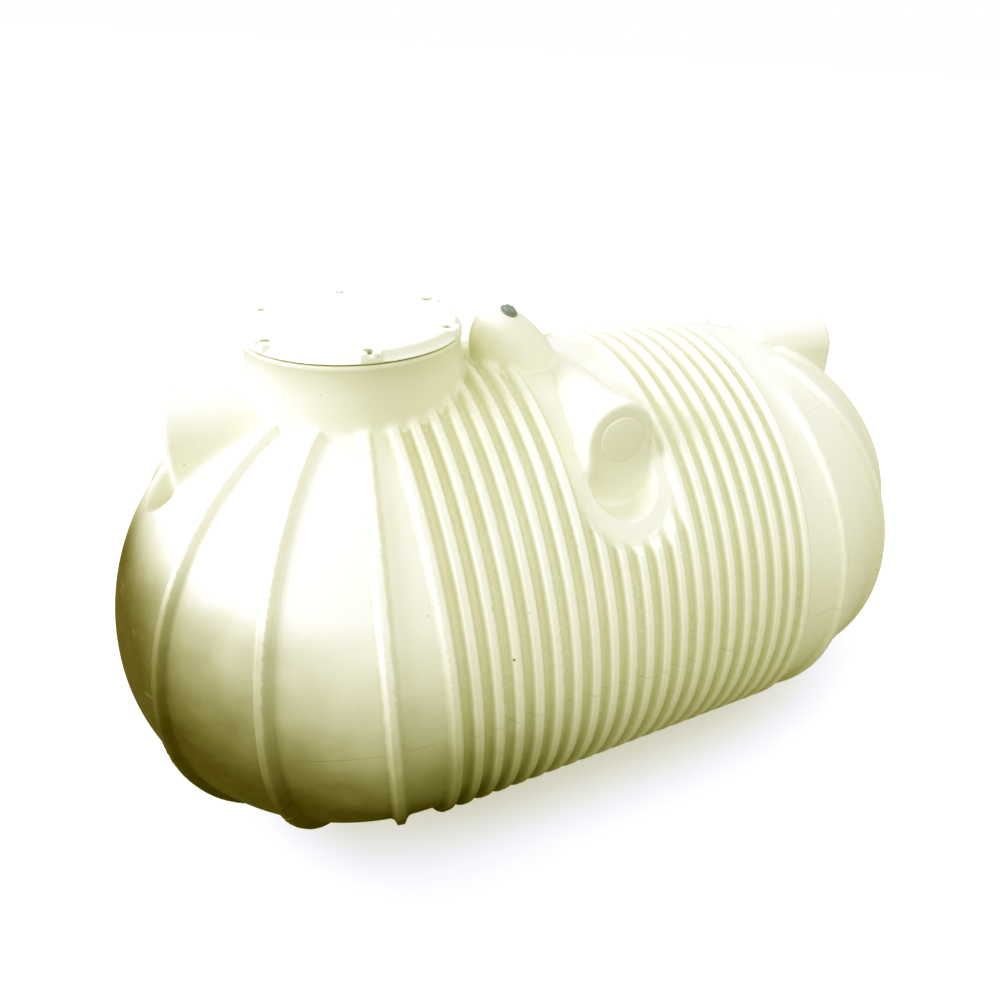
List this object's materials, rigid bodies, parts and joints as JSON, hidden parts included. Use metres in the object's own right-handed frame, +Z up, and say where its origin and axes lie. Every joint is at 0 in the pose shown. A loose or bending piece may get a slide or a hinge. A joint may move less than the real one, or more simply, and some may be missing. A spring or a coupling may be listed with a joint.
{
  "type": "underground water tank",
  "caption": "Horizontal ribbed polyethylene tank for burial, with rounded ends, a manhole neck with a screwed lid, a vent turret and blank pipe bosses.",
  "frame": {"origin": "centre of the bounding box on the ground plane, under the middle of the barrel", "axes": "+X along the tank, from the manhole end to the far end; +Y to the back; +Z up"},
  "size_m": [2.1908, 1.24, 1.301],
  "materials": {
    "shell": "satin rotomoulded polyethylene",
    "lid": "satin moulded polyethylene",
    "gasket": "matt rubber",
    "screw": "dulled steel",
    "plug": "matt moulded plastic"
  },
  "bodies": {
    "root": {"back_pipe_boss": "shell", "far_barrel_lower": "shell", "far_barrel_upper": "shell", "far_end_lower": "shell", "far_end_upper": "shell", "far_pipe_boss": "shell", "front_pipe_boss": "shell", "lid_gasket": "gasket", "lid_screw_1": "screw", "lid_screw_2": "screw", "lid_screw_3": "screw", "lid_screw_4": "screw", "lid_screw_5": "screw", "lid_screw_6": "screw", "manhole_lid": "lid", "manhole_neck": "shell", "middle_barrel_lower": "shell", "middle_barrel_upper": "shell", "near_barrel_lower": "shell", "near_barrel_upper": "shell", "near_end_lower": "shell", "near_end_upper": "shell", "near_pipe_boss": "shell", "vent_plug": "plug", "vent_turret": "shell"}
  },
  "joints": []
}
